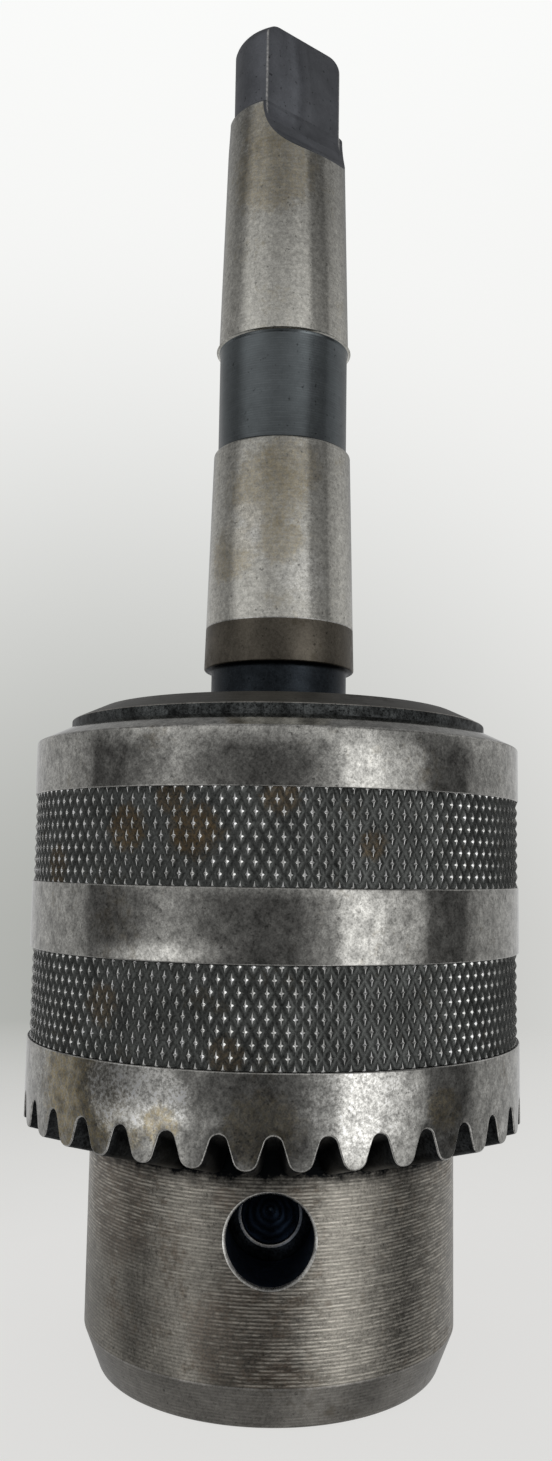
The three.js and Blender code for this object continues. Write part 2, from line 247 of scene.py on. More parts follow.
def true_normals(piece, angle=32, skip=None):
    """Gives faces that belong to a surface of revolution about Z its exact normals, even beside cuts."""
    mesh = piece.data
    for face in mesh.polygons:
        face.use_smooth = True
    mesh.set_sharp_from_angle(angle=math.radians(angle))
    normals = [Vector(corner.vector) for corner in mesh.corner_normals]
    for face in mesh.polygons:
        flat = Vector((face.normal.x, face.normal.y))
        middle = Vector((face.center.x, face.center.y))
        if flat.length < 0.2 or middle.length < 1e-6 or (skip and skip(face)):
            continue
        if abs(flat.normalized().dot(middle.normalized())) < 0.9995:
            continue
        sign = 1 if flat.dot(middle) > 0 else -1
        for loop in face.loop_indices:
            where = mesh.vertices[mesh.loops[loop].vertex_index].co
            out = Vector((where.x, where.y)).normalized() * sign * flat.length
            slope = normals[loop].z if abs(normals[loop].z - face.normal.z) < 0.3 else face.normal.z
            normals[loop] = Vector((out.x, out.y, slope)).normalized()
    mesh.normals_split_custom_set(normals)


# ---------------------------------------------------------------- materials


class Nodes:
    """Builds the nodes of one tree, from a place on the object or a direction in the world."""

    def __init__(self, tree, coordinates):
        self.tree = tree
        self.place = tree.nodes.new("ShaderNodeTexCoord").outputs[coordinates]

    def give(self, socket, value):
        """Links a socket to another node's output, or sets it to a plain value."""
        if hasattr(value, "is_linked"):
            self.tree.links.new(value, socket)
        elif socket.type == "RGBA":
            socket.default_value = (*value[:3], 1)
        else:
            socket.default_value = value

    def add(self, kind, **inputs):
        node = self.tree.nodes.new(kind)
        for key, value in inputs.items():
            self.give(node.inputs[key], value)
        return node

    def scaled(self, x, y, z):
        return self.add("ShaderNodeMapping", Vector=self.place, Scale=(x, y, z)).outputs["Vector"]

    def split(self):
        """The x, y and z of the place or direction."""
        return self.add("ShaderNodeSeparateXYZ", Vector=self.place).outputs

    def noise(self, scale, detail=3.0, roughness=0.55, vector=None, distortion=0.0):
        node = self.add("ShaderNodeTexNoise", Vector=vector or self.place, Scale=scale, Detail=detail,
                        Roughness=roughness, Distortion=distortion)
        return node.outputs["Fac"]

    def ramp(self, value, *stops, interpolation="LINEAR"):
        """stops are (position, grey or colour)."""
        node = self.tree.nodes.new("ShaderNodeValToRGB")
        node.color_ramp.interpolation = interpolation
        elements = node.color_ramp.elements
        elements.remove(elements[0])
        for i, (place, tone) in enumerate(stops):
            colour = (tone,) * 3 if isinstance(tone, (int, float)) else tone
            element = elements[0] if i == 0 else elements.new(place)
            element.position = place
            element.color = (*colour, 1)
        self.give(node.inputs["Fac"], value)
        return node.outputs["Color"]

    def math(self, operation, a, b=0.0, clamp=False):
        node = self.tree.nodes.new("ShaderNodeMath")
        node.operation = operation
        node.use_clamp = clamp
        for socket, value in zip(node.inputs, (a, b)):
            self.give(socket, value)
        return node.outputs[0]

    def mix(self, factor, a, b, blend="MIX"):
        node = self.tree.nodes.new("ShaderNodeMix")
        node.data_type = "RGBA"
        node.blend_type = blend
        factor_socket, a_socket, b_socket = (node.inputs[i] for i in (0, 6, 7))
        self.give(factor_socket, factor)
        self.give(a_socket, a)
        self.give(b_socket, b)
        return node.outputs[2]

    def distance(self, point, start=None):
        """The distance from the start, or else from the place itself, to a point."""
        node = self.tree.nodes.new("ShaderNodeVectorMath")
        node.operation = "DISTANCE"
        self.give(node.inputs[0], start or self.place)
        self.give(node.inputs[1], point)
        return node.outputs["Value"]

    def bump(self, height, strength, distance, normal=None):
        node = self.add("ShaderNodeBump", Strength=strength, Distance=distance, Height=height)
        if normal is not None:
            self.give(node.inputs["Normal"], normal)
        return node.outputs["Normal"]


class Look(Nodes):
    """The nodes of one material."""

    def __init__(self, name):
        self.material = bpy.data.materials.new(name)
        self.material.use_nodes = True
        super().__init__(self.material.node_tree, "Object")
        self.shader = self.tree.nodes["Principled BSDF"]

    def plug(self, socket, value):
        self.give(self.shader.inputs[socket], value)


def times(tone, factor):
    return tuple(min(1, factor * c) for c in tone)


def near(n, azimuth, radius, height, reach, ragged):
    """1 inside a ragged spot on the surface, fading to 0 at its edge. In millimetres and degrees."""
    crisp = 3.5
    away = n.math("DIVIDE", n.distance(at(radius, math.radians(azimuth), height)), reach * MM)
    rough = n.math("MULTIPLY", n.noise(900, 6, 0.8), 2 * ragged)
    inside = n.math("SUBTRACT", 1 + ragged, n.math("ADD", away, rough))
    return n.math("MULTIPLY", inside, crisp, clamp=True)


def streaks(n, lean):
    """Thin broken scratches that lean by so many radians on the front of the piece."""
    length, width = 1 / 260, 1 / 3400
    turned = n.add("ShaderNodeMapping", Vector=n.place, Rotation=(0.3 * lean, lean, 0),
                   Scale=(length, length, width))
    turned.vector_type = "TEXTURE"
    return n.ramp(n.noise(1.0, 3, 0.6, turned.outputs["Vector"]), (0.58, 0.0), (0.66, 1.0))


def beside_line(n, azimuth):
    """1 on an upright edge of the tang, fading to 0 over the width of its worn bevel, which also carries a
    painted highlight.
    """
    gap = n.distance(at(TANG_R, azimuth, 0), n.scaled(1, 1, 0))
    return n.math("SUBTRACT", 1.6, n.math("DIVIDE", gap, TANG_WORN_HIGHLIGHT_WIDTH * MM), clamp=True)


def stain_mask(n, stained):
    """1 where the steel is stained, in blots with finer ragged edges."""
    blots = n.math("MULTIPLY", n.noise(150, 5, 0.65), 0.65)
    blots = n.math("ADD", blots, n.math("MULTIPLY", n.noise(1300, 3, 0.6), 0.35))
    return n.ramp(blots, (0.66 - 0.3 * stained, 0.0), (0.78 - 0.3 * stained, 0.7))


def grain(n, coarse, fine, mottle, speck):
    """The coarse and fine variation of a tone, round 1."""
    dust = n.noise(6500, 2, 0.5)
    patchy = n.ramp(coarse, (0.3, 1 - mottle), (0.7, 1 + mottle))
    mixed = n.math("ADD", n.math("MULTIPLY", fine, 0.6), n.math("MULTIPLY", dust, 0.4))
    grainy = n.ramp(mixed, (0.36, 1 - speck), (0.62, 1 + speck))
    return n.mix(1.0, patchy, grainy, "MULTIPLY")


def turned_lines(n, level, coarse, feed, plain):
    """The even wave of a turning tool, and its crests where they still show, for their bump and for the painted
    highlight and shade along them.
    """
    phase = n.math("MULTIPLY", n.math("ADD", level, n.math("MULTIPLY", coarse, 0.12)), TAU / feed)
    wave = n.math("MULTIPLY", n.math("ADD", n.math("SINE", phase), 1.0), 0.5)
    strength = n.ramp(n.noise(1.0, 4, 0.75, n.scaled(420, 420, 2400)), (0.42, 0.0), (0.62, 1.0))
    if plain:
        rubbed = n.math("MULTIPLY", near(n, *plain, 0.8), 0.8)
        strength = n.math("MULTIPLY", strength, n.math("SUBTRACT", 1.0, rubbed))
    return wave, n.math("MULTIPLY", wave, strength)


def grease_shade_mask(n, level, low, high):
    """1 above the high height and 0 below the low one, with a ragged edge: where grease and painted shade
    darken the nose under the sleeve.
    """
    ragged = 3.0
    edge = n.math("ADD", level, n.math("MULTIPLY", n.noise(900, 5, 0.75), ragged))
    return n.math("MULTIPLY", n.math("SUBTRACT", edge, low + ragged / 2), 1 / (high - low), clamp=True)


def steel(name, tone, rough, mottle=0.25, speck=0.25, stain=(0.14, 0.11, 0.065), stained=0.3,
          turning=0.0, feed=0.36, spots=(), grease_and_shade=None, sparkle=0.3, blotch=330, scratched=0.0, plain=None,
          worn_highlight_lines=()):
    """Worn steel. tone is its mean colour, mottle and speck the depth of its coarse and fine variation,
    stained the share that is stained, turning the depth of the turned lines and feed their spacing.
    spots are (azimuth, radius, height, reach, colour, raggedness, cover).
    plain is a place, as (azimuth, radius, height, reach), where the turned lines are rubbed away.
    worn_highlight_lines are the azimuths of upright edges of the tang that are rubbed bright and carry a
    painted highlight."""
    n = Look(name)
    coarse = n.noise(blotch, 4, 0.6, distortion=0.3)
    fine = n.noise(2900, 3, 0.65)
    dull = stain_mask(n, stained)
    colour = n.mix(dull, tone, stain)
    broken = n.ramp(fine, (0.38, 0.35), (0.6, 1.0))
    for azimuth, radius, height, reach, shade, ragged, cover in spots:
        patch = near(n, azimuth, radius, height, reach, ragged)
        spot = n.math("MULTIPLY", patch, n.math("MULTIPLY", broken, cover))
        colour = n.mix(spot, colour, shade)
        if sum(shade) < 1:
            dull = n.mix(1.0, dull, spot, "LIGHTEN")
    colour = n.mix(1.0, grain(n, coarse, fine, mottle, speck), colour, "MULTIPLY")
    if scratched:
        for lean, bright in ((0.95, 1.8), (-0.7, 0.4), (1.3, 0.5), (-1.2, 1.7)):
            colour = n.mix(n.math("MULTIPLY", streaks(n, lean), scratched), colour, times(tone, bright))
    # Worn tang edges, brightened with a painted highlight.
    for azimuth in worn_highlight_lines:
        colour = n.mix(n.math("MULTIPLY", beside_line(n, azimuth), broken), colour, WORN_EDGE_HIGHLIGHT)
    pits = n.ramp(n.noise(1900, 2, 0.5), (0.67, 0.0), (0.73, 0.75))
    colour = n.mix(pits, colour, times(tone, 0.3))
    level = n.math("MULTIPLY", n.split()["Z"], 1 / MM)
    if turning:
        wave, lines = turned_lines(n, level, coarse, feed, plain)
        # The turned lines' troughs get painted shade and their crests a painted highlight.
        shaded_troughs = n.math("MULTIPLY", n.math("SUBTRACT", 1.0, wave), 0.55 * turning)
        colour = n.mix(shaded_troughs, colour, times(tone, 0.45))
        colour = n.mix(n.math("MULTIPLY", lines, turning), colour, times(tone, 2.8))
    # Grease and painted shade darken the steel below the sleeve's teeth.
    if grease_and_shade:
        greasy_shade = grease_shade_mask(n, level, *grease_and_shade)
        colour = n.mix(greasy_shade, colour, GREASE_SHADE_COLOUR)
        dull = n.mix(1.0, dull, greasy_shade, "LIGHTEN")
    n.plug("Base Color", colour)
    n.plug("Metallic", 1.0)
    smooth = n.ramp(fine, (0.3, max(0.05, rough - 0.05)), (0.7, rough + 0.05))
    n.plug("Roughness", n.mix(dull, smooth, (rough + 0.16,) * 3))
    surface = n.bump(fine, sparkle, FINE_DEPTH)
    surface = n.bump(coarse, sparkle, COARSE_DEPTH, surface)
    if turning:
        surface = n.bump(lines, 0.9 * turning, COARSE_DEPTH, surface)
    n.plug("Normal", surface)
    return n.material


def ringed(name, tone, azimuth, spacing):
    """Dark steel with the rings a drill leaves round the axis of a key hole."""
    n = Look(name)
    lowered = n.add("ShaderNodeMapping", Vector=n.place, Location=(0, 0, -KEY_Z * MM))
    spun = n.add("ShaderNodeVectorRotate", Vector=lowered.outputs["Vector"], Angle=-azimuth)
    spun.rotation_type = "Z_AXIS"
    flat = n.add("ShaderNodeMapping", Vector=spun.outputs["Vector"], Scale=(1, 0, 1))
    from_axis = n.distance((0, 0, 0), flat.outputs["Vector"])
    wobble = n.noise(600, 3, 0.6)
    away = n.math("ADD", n.math("DIVIDE", from_axis, spacing * MM), wobble)
    wave = n.math("MULTIPLY", n.math("ADD", n.math("SINE", n.math("MULTIPLY", away, TAU)), 1.0), 0.5)
    n.plug("Base Color", n.mix(n.math("MULTIPLY", wave, wobble), times(tone, 0.55), times(tone, 2.4)))
    n.plug("Metallic", 1.0)
    n.plug("Roughness", n.ramp(wobble, (0.3, 0.24), (0.7, 0.36)))
    n.plug("Normal", n.bump(wave, 0.5, 0.04 * MM))
    return n.material


FINE_DEPTH = 0.012 * MM
COARSE_DEPTH = 0.03 * MM
# Near black, for grease and painted shade under the sleeve.
GREASE_SHADE_COLOUR = (0.006, 0.007, 0.008)
# Pale steel for the worn tang edges, which also carry a painted highlight.
WORN_EDGE_HIGHLIGHT = (0.85, 0.84, 0.82)
OLIVE = (0.29, 0.225, 0.10)
RUST = (0.17, 0.118, 0.06)
BARE = (0.85, 0.84, 0.80)
INK = (0.05, 0.048, 0.045)
UMBER = (0.17, 0.115, 0.08)
# Grey for painted shade on the knurl peaks at the sleeve's right side.
RIGHT_SIDE_SHADE = (0.2, 0.2, 0.19)
BUFF = (0.44, 0.38, 0.26)

# The nose, with grease and painted shade darkening it just under the sleeve.
body_steel = steel(
    "nose_steel", (0.33, 0.31, 0.272), 0.3, 0.25, 0.45, (0.18, 0.135, 0.095), 0.5,
    turning=0.8, grease_and_shade=(22.9, 24.5), plain=(-40, NOSE_R, 5, 15),
    spots=((11, NOSE_R, 6.8, 1.2, INK, 0.1, 0.75), (-48, NOSE_R, 20, 7, UMBER, 0.6, 0.5),
           (-4, NOSE_R, 9, 6, UMBER, 0.7, 0.45), (-8, NOSE_R, 22, 1.5, UMBER, 0.4, 0.6),
           (8, NOSE_R, 5.2, 2, UMBER, 0.6, 0.5)))
taper_steel = steel(
    "nose_taper_steel", (0.3, 0.285, 0.26), 0.28, 0.25, 0.25, (0.14, 0.12, 0.09), 0.3, turning=0.2)
# Paler steel as painted highlight lines: the edge of the nose's taper, the rim below the plate and the pilot
# hole's lip.
nose_edge_highlight_steel = steel("nose_edge_highlight_steel", (0.45, 0.43, 0.4), 0.3, 0.3, 0.3, stained=0.3)
# Worn edges, paler than the steel beside them and partly a painted highlight.
edge_highlight_steel = steel("worn_edge_highlight_steel", (0.62, 0.61, 0.58), 0.26, 0.4, 0.4, stained=0.3)
plate_steel = steel(
    "rim_steel", (0.14, 0.135, 0.122), 0.36, 0.2, 0.3, (0.09, 0.085, 0.075), 0.4, turning=0.15)
# Near black with oil and painted shade, for hollows: the tooth gaps, the key holes' ledges and the body under
# the sleeve.
oil_and_shade_steel = steel(
    "oiled_and_shaded_steel", (0.034, 0.036, 0.037), 0.42, 0.8, 0.8, (0.012, 0.012, 0.012), 0.5)
# The drum under the sleeve, near black with grime and painted shade where it shows below the plate.
drum_steel = steel("drum_steel", (0.075, 0.08, 0.08), 0.4, 0.9, 0.9, (0.03, 0.03, 0.03), 0.6)
hole_steel = steel("bored_steel", (0.16, 0.2, 0.27), 0.34, 0.3, 0.3, (0.06, 0.07, 0.09), 0.3)
sleeve_steel = steel(
    "band_steel", (0.47, 0.463, 0.435), 0.06, 0.42, 0.42, (0.25, 0.22, 0.165), 0.32,
    sparkle=0.05, blotch=720, scratched=0.2,
    spots=((-40, SLEEVE_R, 32, 7.0, OLIVE, 0.8, 0.8), (-27, SLEEVE_R, 30.5, 3.4, OLIVE, 0.8, 0.8),
           (-27, SLEEVE_R, 33.6, 5.2, BARE, 0.7, 1.0), (-19, SLEEVE_R, 32.4, 3.8, BARE, 0.7, 1.0),
           (-18, SLEEVE_R, 30.2, 2.2, OLIVE, 0.9, 0.8), (2, SLEEVE_R, 30.5, 4.0, OLIVE, 0.9, 0.5),
           (41, SLEEVE_R, 31.6, 2.4, OLIVE, 0.8, 0.6), (22, SLEEVE_R, 33.0, 6.0, BARE, 0.8, 0.7)))
knurl_steel = steel(
    "knurl_steel", (0.115, 0.12, 0.115), 0.42, 0.3, 0.45, (0.085, 0.07, 0.045), 0.3,
    spots=((-28.5, KNURL_R, 58.5, 2.6, RUST, 0.7, 0.8), (-12.5, KNURL_R, 58.2, 2.9, RUST, 0.7, 0.8),
           (-18, KNURL_R, 61.5, 1.8, RUST, 0.8, 0.6), (5, KNURL_R, 61.8, 2.2, RUST, 0.8, 0.6),
           (-34, KNURL_R, 41, 2.4, RUST, 0.8, 0.5), (24, KNURL_R, 57, 1.6, RUST, 0.8, 0.6),
           (-52, KNURL_R, 54.5, 2.4, RUST, 0.8, 0.6), (-5, KNURL_R, 37, 2.0, RUST, 0.8, 0.5)))
# The peaks carry painted shade on the sleeve's right side, where the diamonds shade one another.
peak_steel = steel("knurl_peak_steel", (0.9, 0.9, 0.87), 0.16, 0.3, 0.3, (0.3, 0.28, 0.24), 0.2, sparkle=0.12,
                   spots=((84, KNURL_R, 41, 14, RIGHT_SIDE_SHADE, 0.2, 1.0), (84, KNURL_R, 58, 14, RIGHT_SIDE_SHADE, 0.2, 1.0)))
land_steel = steel(
    "ground_steel", (0.66, 0.645, 0.59), 0.12, 0.22, 0.26, (0.36, 0.32, 0.23), 0.3,
    turning=0.1, feed=0.5, blotch=1300, sparkle=0.22,
    spots=((-8, 8.5, 98, 5.5, BUFF, 0.8, 0.75), (-40, 8.5, 91, 4, BUFF, 0.8, 0.7),
           (12, 8.5, 101, 4.0, BUFF, 0.8, 0.6), (-10, 7.6, 138, 6, BUFF, 0.8, 0.75),
           (-14, 7.4, 144, 4.0, BUFF, 0.8, 0.6), (-26, 8.8, 94, 3.4, BARE, 0.9, 0.5),
           (22, 8.8, 88, 3.4, BARE, 0.9, 0.5), (4, 8.8, 92, 3.0, BUFF, 0.9, 0.7)))
brown_steel = steel("brown_steel", (0.155, 0.138, 0.112), 0.4, 0.2, 0.25, (0.1, 0.085, 0.06), 0.4)
dark_steel = steel(
    "relief_steel", (0.16, 0.178, 0.187), 0.2, 0.12, 0.08, (0.1, 0.108, 0.112), 0.2,
    turning=0.12, feed=0.3, sparkle=0.1)
# The tang, with painted highlights on its worn upright edges.
tang_steel = steel(
    "tang_steel", (0.235, 0.245, 0.27), 0.42, 0.15, 0.1, (0.2, 0.205, 0.22), 0.4, sparkle=0.1,
    worn_highlight_lines=[TANG_AZ + half + side * TANG_EDGE_TURN for half in (0, math.pi) for side in (-1, 1)])
# Bevels on the tang's edges: worn, and brightened as a painted highlight.
tang_edge_highlight_steel = steel("tang_edge_highlight_steel", (0.9, 0.88, 0.83), 0.35, 0.3, 0.3, (0.2, 0.19, 0.17), 0.4)
neck_steel = steel("neck_steel", (0.035, 0.042, 0.05), 0.4, 0.3, 0.3, (0.03, 0.032, 0.036), 0.3)
jaw_steel = steel("jaw_steel", (0.4, 0.4, 0.395), 0.28, 0.2, 0.2, turning=0.2, feed=0.2)
nut_steel = steel("nut_steel", (0.13, 0.13, 0.13), 0.38, turning=0.3)
ball_steel = steel("ball_steel", (0.6, 0.6, 0.6), 0.12, 0.05, 0.05, stained=0.0, sparkle=0.05)
cage_brass = steel("cage_brass", (0.6, 0.43, 0.17), 0.32, 0.2, 0.15, (0.3, 0.2, 0.09), 0.3)
cone_steels = [
    ringed(f"drilled_steel_{hole + 1}", (0.05, 0.065, 0.085), KEY_AZ + hole * TAU / 3, 0.75)
    for hole in range(3)
]


def paint(piece, materials, choose=None):
    """Gives a piece its materials, and each face the one that choose(face) returns."""
    piece.data.materials.clear()
    for material in materials:
        piece.data.materials.append(material)
    if choose:
        numbers = {material.name: number for number, material in enumerate(materials)}
        for face in piece.data.polygons:
            face.material_index = numbers[choose(face).name]


def radius_of(face):
    return math.hypot(face.center.x, face.center.y) / MM


def azimuth_of(face):
    return math.atan2(face.center.x, -face.center.y)


# ---------------------------------------------------------------- body


def key_hole_tool(azimuth):
    """A drilled hole and its pilot, whose mouth has an even bevel all round on the curved nose."""
    turns = 96
    pilot_tip = PILOT_BOTTOM - PILOT_R / math.tan(DRILL_POINT)
    ledge = KEY_BOTTOM - (KEY_R - PILOT_R) / math.tan(DRILL_POINT)
    bm = bmesh.new()

    def ring(radius, out, skin_share=0):
        """A ring round the hole's axis, that far out from the chuck's axis or from the nose's skin."""
        points = []
        for k in range(turns):
            side = radius * math.cos(TAU * k / turns)
            up = radius * math.sin(TAU * k / turns)
            skin = skin_share * math.sqrt(NOSE_R**2 - side**2)
            points.append(bm.verts.new(Vector((side, -(skin + out), KEY_Z + up)) * MM))
        return points

    rings = [
        ring(0.25, pilot_tip + 0.15),
        ring(PILOT_R - 0.1, PILOT_BOTTOM - 0.06),
        ring(PILOT_R, PILOT_BOTTOM + 0.1),
        ring(PILOT_R, ledge - 0.12),
        ring(PILOT_R + PILOT_LIP, ledge),
        ring(KEY_R - 0.08, KEY_BOTTOM + 0.02),
        ring(KEY_R, KEY_BOTTOM + 0.25),
        ring(KEY_R, -KEY_EDGE, 1),
        ring(KEY_R + 0.45 * KEY_EDGE, -0.35 * KEY_EDGE, 1),
        ring(KEY_R + 1.4 * KEY_EDGE, 0.25 * KEY_EDGE, 1),
        ring(KEY_R + 1.4 * KEY_EDGE, NOSE_R + 2),
    ]
    for low, high in zip(rings, rings[1:]):
        for k in range(turns):
            n = (k + 1) % turns
            bm.faces.new((low[k], low[n], high[n], high[k]))
    tip = bm.verts.new(Vector((0, -pilot_tip, KEY_Z)) * MM)
    for k in range(turns):
        bm.faces.new((tip, rings[0][(k + 1) % turns], rings[0][k]))
    bm.faces.new(rings[-1])
    bmesh.ops.rotate(bm, verts=bm.verts, cent=(0, 0, 0), matrix=Matrix.Rotation(azimuth, 3, "Z"))
    return new_piece("key_hole_tool", bm)


def jaw_place(azimuth):
    """The matrix that carries a shape made along Z to a jaw's inclined axis."""
    foot = Matrix.Translation(Vector((0, -JAW_FOOT_R, 0)) * MM)
    return Matrix.Rotation(azimuth, 4, "Z") @ foot @ Matrix.Rotation(JAW_TILT, 4, "X")


def jaw_azimuth(index):
    return KEY_AZ + math.radians(60 + 120 * index)


def rod_tool(radius, low, high, azimuth, sides=64, edge=0.0):
    """A round bar along a jaw's axis, with bevelled ends where it has an edge."""
    outline = [(0, low), (radius, low), (radius, high), (0, high)]
    if edge:
        outline[1:3] = [(radius - edge, low), (radius, low + edge),
                        (radius, high - edge), (radius - edge, high)]
    bm = lathe_mesh(outline, sides)
    bm.transform(jaw_place(azimuth))
    return new_piece("rod_tool", bm)


def socket_r(height):
    """The radius of the Jacobs taper at a height."""
    return SOCKET_R - SOCKET_RATE * (HEAD_Z - height)


def in_key_hole(face):
    beside = abs(face.center.z / MM - KEY_Z) < KEY_R + 0.6
    return beside and BORE_R + 0.5 < radius_of(face) < NOSE_R - 0.02


def key_hole_look(face):
    """The steel of a face inside a key hole, by its distance from the hole's axis and out along it."""
    radius = radius_of(face)
    turn = (azimuth_of(face) - KEY_AZ) % TAU
    hole = round(turn / (TAU / 3)) % 3
    across = radius * math.sin(turn - hole * TAU / 3)
    from_axis = math.hypot(across, face.center.z / MM - KEY_Z)
    along = math.sqrt(max(0, radius**2 - across**2))
    if along > KEY_BOTTOM + 0.3 and from_axis < KEY_R + 0.02:
        return hole_steel
    # A painted highlight ring on the pilot hole's lip.
    if PILOT_R - 0.02 < from_axis < PILOT_R + PILOT_LIP and along > PILOT_BOTTOM + 0.2:
        return nose_edge_highlight_steel
    # The bevel at each key hole's mouth: worn, and paler as a painted highlight.
    if along > KEY_BOTTOM + 0.3:
        return edge_highlight_steel
    # The ledge between the hole and its pilot is near black with oil and painted shade.
    return cone_steels[hole] if from_axis < PILOT_R else oil_and_shade_steel


def body_look(face):
    radius, height = radius_of(face), face.center.z / MM
    if in_key_hole(face):
        return key_hole_look(face)
    # A thin painted highlight line along the rim below the plate.
    if RIM_Z - 0.1 < height < RIM_Z + 0.2 and radius > PLATE_R:
        return nose_edge_highlight_steel
    if height > RIM_Z + 0.2:
        return plate_steel
    # Under the sleeve and below the plate the steel is near black with oil, grime and painted shade.
    if height > GROOVE_Z - 0.3:
        return drum_steel if height > SHOULDER_Z and radius > DRUM_R - 0.5 else oil_and_shade_steel
    if radius < BORE_R + 1.2 and height < 1.1:
        return taper_steel
    if radius < NOSE_END_R - 1.5 and height > 0.3:
        return hole_steel
    if radius < NOSE_R - 0.42 and height > NOSE_TAPER_H:
        return hole_steel
    # Faces just inside the nose's skin at its edges: worn, and paler as a painted highlight.
    if radius < NOSE_R - 0.012 and height > NOSE_TAPER_H + 0.4:
        return edge_highlight_steel
    # A painted highlight line along the edge of the nose's taper.
    if abs(height - NOSE_TAPER_H) < 0.1:
        return nose_edge_highlight_steel
    return taper_steel if height < NOSE_TAPER_H else body_steel


def make_body():
    socket_end = ARBOR_FOOT - 0.3
    corners = [
        (NOSE_END_R, 0, 0.55), (NOSE_R, NOSE_TAPER_H, 0.5), (NOSE_R, GROOVE_Z, 0.2),
        (GROOVE_R, GROOVE_Z, 0.4), (GROOVE_R, SPIGOT_Z, 0.4), (NOSE_R, SPIGOT_Z, 0.2),
        (NOSE_R, SHOULDER_Z, 0.3), (DRUM_R, SHOULDER_Z, 0.2), (DRUM_R, RIM_Z, 0.1),
        (PLATE_R, BODY_TOP, 0.25), (SOCKET_R + 0.6, BODY_TOP, 0.1), (SOCKET_R + 0.3, BODY_TOP - 0.5, 0),
        (socket_r(ARBOR_FOOT) + 0.3, socket_end, 0), (VENT_R, socket_end, 0.2),
        (VENT_R, BORE_TOP + 2.8, 0), (BORE_R, BORE_TOP, 0.3), (BORE_R, 1.0, 0.25), (BORE_R + 1.0, 0, 0.25),
    ]
    body = new_piece("body_shell", lathe_mesh(rounded(corners), 256))
    for i in range(3):
        cut(body, key_hole_tool(KEY_AZ + math.radians(120 * i)))
        cut(body, rod_tool(GUIDE_R, -8, GUIDE_END, jaw_azimuth(i)))
    true_normals(body, skip=in_key_hole)
    looks = (body_steel, plate_steel, oil_and_shade_steel, hole_steel, edge_highlight_steel, taper_steel, nose_edge_highlight_steel)
    paint(body, (*looks, *cone_steels, drum_steel), body_look)
    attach(body, "body")
    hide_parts("chuck_body")


# ---------------------------------------------------------------- sleeve


def tooth_outline():
    """Half of one tooth gap, from the middle of its root to the middle of a tooth's tip."""
    half_pitch = SLEEVE_R * math.pi / TEETH
    centre = Vector((0, TOOTH_ROOT - ROOT_ARC))
    corner = Vector((GAP_HALF, TOOTH_TIP))
    towards = corner - centre
    turn = math.atan2(towards.y, towards.x) + math.acos(ROOT_ARC / towards.length)
    points = []
    steps = 7
    for k in range(steps + 1):
        angle = math.pi / 2 + (turn - math.pi / 2) * k / steps
        points.append(centre + ROOT_ARC * Vector((math.cos(angle), math.sin(angle))))
    flank = (corner - points[-1]).normalized()
    level = Vector((1, 0))
    half = (-flank).angle(level) / 2
    reach = TIP_FILLET / math.tan(half)
    start = corner - flank * reach
    for share in (0.33, 0.67):
        points.append(points[steps].lerp(start, share))
    middle = corner + (level - flank).normalized() * TIP_FILLET / math.sin(half)
    spoke = start - middle
    bend = math.pi - 2 * half
    for k in range(5):
        points.append(middle + Matrix.Rotation(bend * k / 4, 2) @ spoke)
    points.append(Vector((half_pitch, TOOTH_TIP)))
    return points


def tooth_ring():
    """(azimuth, height, direction into the metal) all round the sleeve's lower edge."""
    half = tooth_outline()
    mirrored = [Vector((-p.x, p.y)) for p in reversed(half[1:-1])]
    outline = mirrored + half
    ring = []
    step = TAU / TEETH
    pitch = SLEEVE_R * step
    count = len(outline)
    for tooth in range(TEETH):
        for i, point in enumerate(outline):
            before = outline[i - 1] if i else outline[-1] - Vector((pitch, 0))
            after = outline[i + 1] if i + 1 < count else outline[0] + Vector((pitch, 0))
            along = (after - before).normalized()
            azimuth = TOOTH_GAP_AZ + tooth * step + point.x / SLEEVE_R
            ring.append((azimuth, point.y, Vector((-along.y, along.x))))
    return ring


def sleeve_look(face):
    radius, height = radius_of(face), face.center.z / MM
    outwards = Vector((face.center.x, face.center.y)).normalized()
    out = Vector((face.normal.x, face.normal.y)).dot(outwards)
    # The chamfer's edge and the teeth's edges: worn, and paler as a painted highlight.
    if height > CHAMFER_Z - 0.3 and face.normal.z > 0.2:
        return edge_highlight_steel if height < CHAMFER_Z + 0.12 else sleeve_steel
    # Inside the tooth gaps and the bore: oil and painted shade.
    if radius < SLEEVE_R - 0.2 or out < 0.25:
        return oil_and_shade_steel
    if height < TOOTH_ROOT + 0.4 and out < 0.98:
        return edge_highlight_steel
    return sleeve_steel if out > 0.9 else edge_highlight_steel


